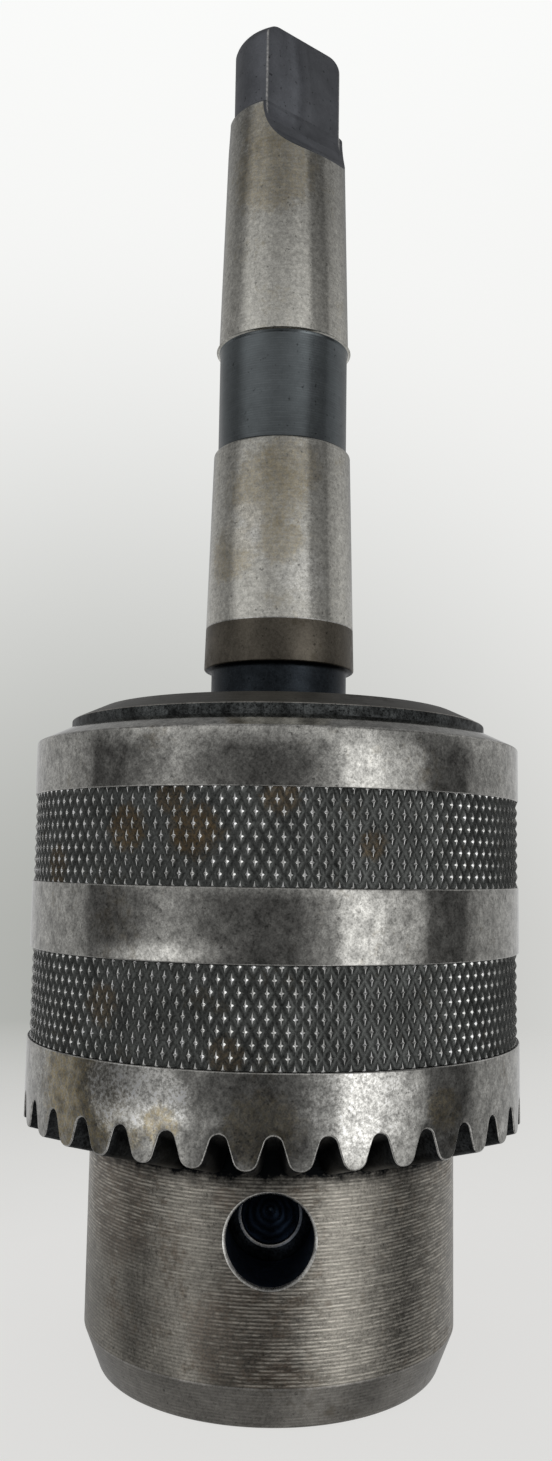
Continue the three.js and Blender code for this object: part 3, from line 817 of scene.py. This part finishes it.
def make_sleeve():
    ring = tooth_ring()

    def level(radius, height):
        return [at(radius, azimuth, height) for azimuth, _, _ in ring]

    def beside(depth, sink):
        """The edge of the teeth, moved into the metal along its own outline and inwards."""
        return [
            at(SLEEVE_R - sink, azimuth + depth * into.x / SLEEVE_R, height + depth * into.y)
            for azimuth, height, into in ring
        ]

    def floor(radius):
        """The edge of the teeth, drawn in towards the axis of the key."""
        scale = radius / SLEEVE_R
        return [at(radius, azimuth, KEY_Z + scale * (height - KEY_Z)) for azimuth, height, _ in ring]

    band_foot = TOOTH_ROOT + 0.9
    corners = [(BORE_SLEEVE_R, SLEEVE_TOP, 0.25), (SLEEVE_R, CHAMFER_Z, 0.3)]
    for low, high in reversed(BANDS):
        corners += [(SLEEVE_R, high, BAND_LIP), (KNURL_FLOOR, high, 0),
                    (KNURL_FLOOR, low, 0), (SLEEVE_R, low, BAND_LIP)]
    corners += [(SLEEVE_R, band_foot, 0), (BORE_SLEEVE_R, band_foot, 0)]
    rows = [level(radius, height) for radius, height in rounded(corners)[:-1]]
    rows += [beside(EDGE, 0.0), beside(0.62 * EDGE, 0.12 * EDGE), beside(0.12 * EDGE, 0.62 * EDGE)]
    for radius in (SLEEVE_R - EDGE, SLEEVE_R - 2.2, SLEEVE_R - 4.5, MOUTH_R + 0.15):
        rows.append(floor(radius))
    rows.append([p + Vector((0, 0, 0.15 * MM)) for p in floor(MOUTH_R)])
    rows += [level(MOUTH_R, SEAT_Z - 0.15), level(MOUTH_R, SEAT_Z)]
    rows += [level(BORE_SLEEVE_R, SEAT_Z), level(BORE_SLEEVE_R, SLEEVE_TOP - 0.6)]

    bm = bmesh.new()
    grid = [[bm.verts.new(point) for point in row] for row in rows]
    count = len(ring)
    for i, row in enumerate(grid):
        after = grid[(i + 1) % len(grid)]
        for k in range(count):
            n = (k + 1) % count
            bm.faces.new((row[k], after[k], after[n], row[n]))
    sleeve = new_piece("sleeve_shell", bm, 40)
    true_normals(sleeve, 40)
    paint(sleeve, (sleeve_steel, oil_and_shade_steel, edge_highlight_steel), sleeve_look)
    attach(sleeve, "sleeve")
    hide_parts("sleeve")


def make_knurl(name, low, high, tip_r):
    """A ring of raised diamonds: steep dark flanks, bevelled worn shoulders and small flat tops."""
    valley_r = tip_r - VALLEY_DEPTH
    bm = bmesh.new()
    half_turn = TAU / KNURL_COUNT / 2
    half_rise = KNURL_PITCH_Z / 2
    rows = math.ceil((high - low) / half_rise) + 1
    shared = {}

    def corner(column, row):
        key = (column % (2 * KNURL_COUNT), row)
        if key not in shared:
            shared[key] = bm.verts.new(Vector((key[0] * half_turn, valley_r, low + row * half_rise)))
        return shared[key]

    def cell_point(column, row, across, up, radius):
        azimuth = column * half_turn + across / SLEEVE_R
        return bm.verts.new(Vector((azimuth, radius, low + row * half_rise + up)))

    bright = []
    for row in range(-1, rows + 1):
        for column in range(row % 2, 2 * KNURL_COUNT, 2):
            feet, arms, elbows, top = [], [], [], []
            for side, rise in ((-1, 0), (0, -1), (1, 0), (0, 1)):
                feet.append(corner(column + side, row + rise))
            for side, rise in ((-1, 0), (0, -1), (1, 0), (0, 1)):
                arms.append(cell_point(column, row, side * ARM_X, rise * ARM_Z, tip_r - ARM_DROP))
                top.append(cell_point(column, row, side * TOP_X, rise * TOP_Z, tip_r))
            for side, rise in ((-1, -1), (1, -1), (1, 1), (-1, 1)):
                elbows.append(cell_point(column, row, side * ELBOW_X, rise * ELBOW_Z, tip_r - ELBOW_DROP))
            for k in range(4):
                n = (k + 1) % 4
                bm.faces.new((feet[k], feet[n], elbows[k]))
                bm.faces.new((feet[k], elbows[k], arms[k]))
                bm.faces.new((feet[n], arms[n], elbows[k]))
                bright.append(bm.faces.new((arms[k], elbows[k], top[k])))
                bright.append(bm.faces.new((elbows[k], arms[n], top[n])))
                bright.append(bm.faces.new((elbows[k], top[n], top[k])))
            bm.faces.new(top)
    for face in bright:
        face.material_index = 1
    # Faces beside azimuth 0 share its corners, so only now does each point go round the sleeve.
    for vert in bm.verts:
        azimuth, radius, height = vert.co
        vert.co = at(radius, azimuth, height)
    for height, side in ((low, -1), (high, 1)):
        every = list(bm.verts) + list(bm.edges) + list(bm.faces)
        bmesh.ops.bisect_plane(
            bm, geom=every, plane_co=(0, 0, height * MM), plane_no=(0, 0, side), clear_outer=True)
    rims = [edge for edge in bm.edges if edge.is_boundary]
    grown = bmesh.ops.extrude_edge_only(bm, edges=rims)
    inner = [item for item in grown["geom"] if isinstance(item, bmesh.types.BMVert)]
    for vert in inner:
        flat = Vector((vert.co.x, vert.co.y, 0)).normalized() * (KNURL_FLOOR - KNURL_RUN_IN) * MM
        vert.co = Vector((flat.x, flat.y, vert.co.z))
    loops = [edge for edge in bm.edges if edge.is_boundary]
    bmesh.ops.bridge_loops(bm, edges=loops)
    knurl = new_piece(name, bm, 75)
    knurl.data.materials.append(knurl_steel)
    knurl.data.materials.append(peak_steel)
    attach(knurl, "sleeve")


# ---------------------------------------------------------------- arbor


def taper_r(height):
    """The radius of the Morse taper at a height."""
    return TAPER_R - TAPER_RATE * (height - NECK_TOP)


def outline_tool(points, azimuth, width, name):
    """An outline in the plane of radius and height, made solid across its own plane."""
    bm = bmesh.new()
    ends = []
    for side in (-width / 2, width / 2):
        ends.append([bm.verts.new(Vector((side, -x, z)) * MM) for x, z in points])
    count = len(points)
    for k in range(count):
        n = (k + 1) % count
        bm.faces.new((ends[0][k], ends[0][n], ends[1][n], ends[1][k]))
    bm.faces.new(ends[0])
    bm.faces.new(list(reversed(ends[1])))
    bmesh.ops.rotate(bm, verts=bm.verts, cent=(0, 0, 0), matrix=Matrix.Rotation(azimuth, 3, "Z"))
    return new_piece(name, bm)


def tang_cut_points():
    """The outline of what is milled off one side of the tang, with a round fillet at its foot."""
    points = [(TANG_HALF, TANG_TOP + 2)]
    steps = 16
    for k in range(steps + 1):
        angle = math.pi + math.pi / 2 * k / steps
        x = TANG_HALF + TANG_FILLET * (1 + math.cos(angle))
        points.append((x, TANG_FOOT + TANG_FILLET * math.sin(angle)))
    points.append((TANG_HALF + TANG_FILLET, TANG_TOP + 2))
    return points


def arbor_look(face):
    radius, height = radius_of(face), face.center.z / MM
    # The top edge of the brown band: worn, and paler as a painted highlight.
    if -0.02 < height - BROWN_TOP < 0.16:
        return edge_highlight_steel
    if height < NECK_TOP + 0.02 or (height < NECK_TOP + 0.3 and radius < TAPER_R - 0.3):
        return neck_steel
    if height < BROWN_TOP:
        return brown_steel
    if RELIEF[0] - 0.15 < height < RELIEF[1] + 0.1 and radius < RELIEF_R + 0.12:
        return dark_steel
    side = abs(math.sin(azimuth_of(face) - TANG_AZ))
    slanted = 0.53 < abs(face.normal.dot(TANG_FACING)) < 0.97
    # Slanted bevel faces of the tang's edges get the worn steel with a painted highlight.
    if height > TANG_FOOT + 0.2 and slanted and side < 0.95:
        return tang_edge_highlight_steel if radius > 5.6 or height > TANG_TOP - 1.8 else tang_steel
    if height > TANG_FOOT - 0.05:
        return tang_steel
    cut_away = radius < taper_r(height) - 0.12 or face.normal.z > 0.12
    return tang_steel if height > TANG_FOOT - 8 and cut_away else land_steel


def make_arbor():
    brown_edge = BROWN_TOP + 0.14
    corners = [
        (0, ARBOR_FOOT, 0), (socket_r(ARBOR_FOOT), ARBOR_FOOT, 0.4), (SOCKET_R, HEAD_Z, 0.15),
        (NECK_R, HEAD_Z + 0.4, 0.15), (NECK_R, NECK_TOP, 0.5), (TAPER_R, NECK_TOP, 0.25),
        (taper_r(BROWN_TOP), BROWN_TOP, 0), (taper_r(brown_edge), brown_edge, 0),
        (taper_r(RELIEF[0]), RELIEF[0], 0.3), (RELIEF_R, RELIEF[0], 0.3), (RELIEF_R, RELIEF[1], 0.45),
        (taper_r(RELIEF[1]), RELIEF[1], 0.12), (taper_r(TANG_FOOT), TANG_FOOT, 0.3),
        (TANG_R, TANG_FOOT + 0.15, 0.1), (TANG_R, TANG_TOP, TANG_CORNER), (0, TANG_TOP, 0),
    ]
    arbor = new_piece("arbor_shank", lathe_mesh(rounded(corners), 192))
    for turn in (0, math.pi):
        cut(arbor, outline_tool(tang_cut_points(), TANG_AZ + turn, 40, "tang_cut"))
    bevel = arbor.modifiers.new("edge", "BEVEL")
    bevel.width = TANG_BEVEL * MM
    bevel.segments = 2
    bevel.limit_method = "ANGLE"
    bevel.angle_limit = math.radians(38)
    apply_modifiers(arbor)
    true_normals(arbor)
    looks = (land_steel, brown_steel, dark_steel, tang_steel, neck_steel, tang_edge_highlight_steel, edge_highlight_steel)
    paint(arbor, looks, arbor_look)
    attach(arbor, "body")
    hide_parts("arbor")


# ---------------------------------------------------------------- jaws


def add_prism(bm, first, last):
    """A solid between two outlines of as many points, in millimetres."""
    ends = [[bm.verts.new(Vector(point) * MM) for point in outline] for outline in (first, last)]
    bm.faces.new(ends[0])
    bm.faces.new(ends[1])
    count = len(first)
    for k in range(count):
        n = (k + 1) % count
        bm.faces.new((ends[0][k], ends[0][n], ends[1][n], ends[1][k]))


def grip_sector(azimuth):
    """The third of the space round the axis that belongs to one jaw, above its tip."""
    reach = 40
    side = GRIP_LAND + reach * math.sin(math.radians(60))
    top = GRIP_R + reach * math.cos(math.radians(60))
    sector = ((-GRIP_LAND, GRIP_R), (-side, top), (side, top), (GRIP_LAND, GRIP_R))
    bm = bmesh.new()
    add_prism(bm, *([(x, -out, z) for x, out in sector] for z in (JAW_TIP_Z, 100)))
    bmesh.ops.rotate(bm, verts=bm.verts, cent=(0, 0, 0), matrix=Matrix.Rotation(azimuth, 3, "Z"))
    return new_piece("grip_sector", bm)


def rack_tool(azimuth):
    """The gaps between the teeth of a jaw's rack, which start later on each jaw to follow the thread."""
    floor_r = JAW_R - RACK_DEPTH
    gap = ((JAW_R + 1, -RACK_MOUTH_HALF), (JAW_R + 1, RACK_MOUTH_HALF),
           (floor_r, RACK_FLOOR_HALF), (floor_r, -RACK_FLOOR_HALF))
    bm = bmesh.new()
    place = RACK_START + (PITCH * azimuth / TAU) % PITCH
    while place < JAW_END + 0.9:
        add_prism(bm, *([(x, -out, place + up) for out, up in gap] for x in (-JAW_R, JAW_R)))
        place += PITCH
    bm.transform(jaw_place(azimuth))
    return new_piece("rack_tool", bm)


def make_jaw(index):
    azimuth = jaw_azimuth(index)
    jaw = rod_tool(JAW_R, 0, JAW_END, azimuth, 96, JAW_EDGE)
    jaw.name = f"jaw_bar_{index + 1}"
    cut(jaw, grip_sector(azimuth), "INTERSECT")
    reach_tool = lathe_mesh([(0, -5), (JAW_MAX_R, -5), (JAW_MAX_R, 100), (0, 100)], 128)
    cut(jaw, new_piece("reach_tool", reach_tool), "INTERSECT")
    cut(jaw, rack_tool(azimuth))
    for face in jaw.data.polygons:
        face.use_smooth = True
    jaw.data.set_sharp_from_angle(angle=math.radians(25))
    paint(jaw, (jaw_steel,))
    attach(jaw, f"jaw_{index + 1}")
    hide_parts(f"jaw_{index + 1}")


# ---------------------------------------------------------------- hidden pieces


def make_hidden():
    """Looks for the pieces inside, and round balls instead of the faceted ones."""
    looks = {"nut_half_a": nut_steel, "nut_half_b": nut_steel, "nut_race": ball_steel,
             "body_race": ball_steel, "ball_cage": cage_brass}
    for name, look in looks.items():
        paint(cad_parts[name], (look,))
    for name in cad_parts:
        if not name.startswith("ball_") or name == "ball_cage":
            continue
        low, high = (Vector(corner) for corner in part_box(name))
        bm = bmesh.new()
        bmesh.ops.create_uvsphere(bm, u_segments=32, v_segments=16, radius=BALL_R * MM)
        bmesh.ops.translate(bm, verts=bm.verts, vec=(low + high) / 2)
        ball = new_piece(name.replace("ball", "round_ball"), bm, 80)
        paint(ball, (ball_steel,))
        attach(ball, "ball_ring")
        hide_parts(name)


# ---------------------------------------------------------------- stage


def make_stage():
    """A pale round mat that fades into the pale surroundings."""
    bm = bmesh.new()
    bmesh.ops.create_circle(bm, cap_ends=True, segments=128, radius=MAT_R)
    bmesh.ops.translate(bm, verts=bm.verts, vec=(0, 0, -0.05 * MM))
    floor = new_piece("floor", bm)
    floor.visible_glossy = False
    n = Look("floor_paper")
    n.plug("Base Color", n.ramp(n.noise(40, 3), (0.3, 0.30), (0.7, 0.32)))
    n.plug("Roughness", 0.9)
    n.plug("Specular IOR Level", 0.0)
    n.plug("Emission Color", (0.78, 0.775, 0.76))
    n.plug("Emission Strength", 0.85)
    n.plug("Alpha", n.ramp(n.distance((0, 0, 0)), (0.05, 1.0), (0.3, 0.0)))
    paint(floor, (n.material,))


def azimuth_ramp(n, turn, *stops):
    """The tone for each azimuth, in degrees from the front, where turn is 0 to 1 all the way round."""
    return n.ramp(turn, *(((angle + 180) / 360, tone) for angle, tone in stops))


def low_lights(n, x, y, z, azimuth):
    """What shines from level with the chuck: soft tall lights, and below them a paler left."""
    # The light on the right leans inwards as it rises.
    raised = n.math("MULTIPLY", n.math("SUBTRACT", z, 0.1), 1.2, clamp=True)
    lean = n.math("MULTIPLY", raised, n.math("MULTIPLY", x, 3.0, clamp=True))
    leaning = n.math("ADD", azimuth, n.math("MULTIPLY", lean, 0.9))
    leaning_turn = n.math("ADD", n.math("DIVIDE", leaning, TAU), 0.5)
    level = azimuth_ramp(
        n, leaning_turn, (-180, 0.64), (-150, 0.5), (-118, 0.42), (-93, 0.33), (-87, 0.1), (-70, 0.11),
        (-57, 0.22), (-43, 0.42), (-33, 0.26), (-20, 0.14), (0, 0.09), (14, 0.13), (31, 0.42), (36, 1.15),
        (47, 1.2), (56, 0.75), (71, 0.48), (77, 0.12), (98, 0.075), (103, 0.22), (110, 0.33), (128, 0.4),
        (155, 0.52), (180, 0.64))
    falling = n.math("MULTIPLY", n.math("SUBTRACT", z, 0.09), 4.0)
    cap = n.math("MAXIMUM", n.math("SUBTRACT", 1.3, falling), 0.6)
    ring = n.math("MINIMUM", level, cap)
    # Low down it is paler on the left and darker in the middle.
    above = n.math("MULTIPLY", n.math("SUBTRACT", -0.13, z), 15.0, clamp=True)
    under = n.math("MULTIPLY", n.math("SUBTRACT", -0.23, z), 15.0, clamp=True)
    side = n.math("SUBTRACT", n.math("MULTIPLY", x, -1.6), 0.3, clamp=True)
    left = n.math("MULTIPLY", side, n.math("MULTIPLY", y, -3.0, clamp=True))
    middle = n.math("MULTIPLY", n.math("ABSOLUTE", n.math("ADD", x, 0.15)), 1.7)
    middle = n.math("SUBTRACT", 1.4, middle, clamp=True)
    low = n.math("SUBTRACT", above, n.math("MULTIPLY", under, 0.55))
    pale = n.math("MULTIPLY", n.math("MULTIPLY", low, left), 2.4)
    dim = n.math("MULTIPLY", n.math("MULTIPLY", under, middle), 0.38)
    return n.math("MULTIPLY", ring, n.math("SUBTRACT", n.math("ADD", pale, 1.0), dim))


def high_lights(n, z, azimuth):
    """What shines from above the chuck, fading towards the zenith."""
    turn = n.math("ADD", n.math("DIVIDE", azimuth, TAU), 0.5)
    tone = azimuth_ramp(
        n, turn, (-180, 0.21), (-142, 0.33), (-98, 0.19), (-84, 0.19), (-64, 0.46), (-38, 0.42),
        (-14, 0.32), (9, 0.35), (32, 0.46), (46, 0.46), (55, 0.2), (86, 0.15), (92, 0.26), (118, 0.36),
        (150, 0.28), (180, 0.21))
    falling = n.math("SUBTRACT", 1.8, n.math("MULTIPLY", z, 1.7))
    return n.math("MULTIPLY", tone, n.math("MINIMUM", n.math("MAXIMUM", falling, 0.7), 1.4))


def blend(n, share, a, b):
    """a where the share is 0 and b where it is 1."""
    rest = n.math("MULTIPLY", a, n.math("SUBTRACT", 1.0, share))
    return n.math("ADD", rest, n.math("MULTIPLY", b, share))


def surroundings(n):
    """What lights the chuck and is mirrored in it."""
    x, y, z = n.split()
    azimuth = n.math("ARCTAN2", x, n.math("MULTIPLY", y, -1.0))
    high = n.math("MULTIPLY", n.math("SUBTRACT", z, 0.12), 7.0, clamp=True)
    tone = blend(n, high, low_lights(n, x, y, z, azimuth), high_lights(n, z, azimuth))
    floor_tone = 0.34
    below = n.math("MULTIPLY", n.math("SUBTRACT", -0.41, z), 8.0, clamp=True)
    return blend(n, n.math("MULTIPLY", below, 0.5), tone, floor_tone)


def backdrop(n):
    """The wall that the camera sees: paler as it rises, with a soft shade behind the chuck."""
    rise = n.math("MULTIPLY", n.math("ADD", n.split()["Z"], 0.05), 1.5, clamp=True)
    wall = n.mix(rise, (0.775, 0.77, 0.755), (0.96, 0.965, 0.955))
    from_shade = n.distance(Vector((-0.2, 0.98, -0.1)).normalized())
    shade = n.ramp(from_shade, (0.0, (0.54, 0.555, 0.535)), (0.62, 1.0), interpolation="EASE")
    return n.mix(1.0, wall, shade, "MULTIPLY")


def make_world():
    """A pale studio, with its own soft lights for every ray but the camera's."""
    world = bpy.data.worlds.new("studio")
    bpy.context.scene.world = world
    world.use_nodes = True
    world.node_tree.nodes.clear()
    n = Nodes(world.node_tree, "Generated")
    choose = n.add("ShaderNodeMixShader")
    n.give(choose.inputs[0], n.add("ShaderNodeLightPath").outputs["Is Camera Ray"])
    for socket, colour in zip(choose.inputs[1:], (surroundings(n), backdrop(n))):
        n.give(socket, n.add("ShaderNodeBackground", Color=colour).outputs[0])
    n.add("ShaderNodeOutputWorld", Surface=choose.outputs[0])


def make_camera():
    """The camera that the photo was taken from, turned by its yaw, pitch and roll."""
    cp, sp = math.cos(CAMERA_PITCH), math.sin(CAMERA_PITCH)
    cy, sy = math.cos(CAMERA_YAW), math.sin(CAMERA_YAW)
    ahead = Vector((sy * cp, cy * cp, sp))
    level = Vector((cy, -sy, 0))
    above = level.cross(ahead)
    right = math.cos(CAMERA_ROLL) * level + math.sin(CAMERA_ROLL) * above
    up = math.cos(CAMERA_ROLL) * above - math.sin(CAMERA_ROLL) * level
    data = bpy.data.cameras.new("camera")
    data.sensor_fit = "VERTICAL"
    data.sensor_height = CAMERA_SENSOR
    data.lens = CAMERA_LENS
    data.clip_start = 0.005
    camera = bpy.data.objects.new("camera", data)
    bpy.context.scene.collection.objects.link(camera)
    camera.matrix_world = Matrix((
        (right.x, up.x, -ahead.x, CAMERA_AT[0] * MM),
        (right.y, up.y, -ahead.y, CAMERA_AT[1] * MM),
        (right.z, up.z, -ahead.z, CAMERA_AT[2] * MM),
        (0, 0, 0, 1),
    ))
    bpy.context.scene.camera = camera


make_camera()
make_world()
make_stage()
bpy.context.scene.view_settings.view_transform = "Standard"
make_body()
make_sleeve()
for (band_low, band_high), tip, title in zip(BANDS, KNURL_TIP, ("knurl_lower", "knurl_upper")):
    make_knurl(title, band_low, band_high, tip)
make_arbor()
for jaw_index in range(3):
    make_jaw(jaw_index)
make_hidden()
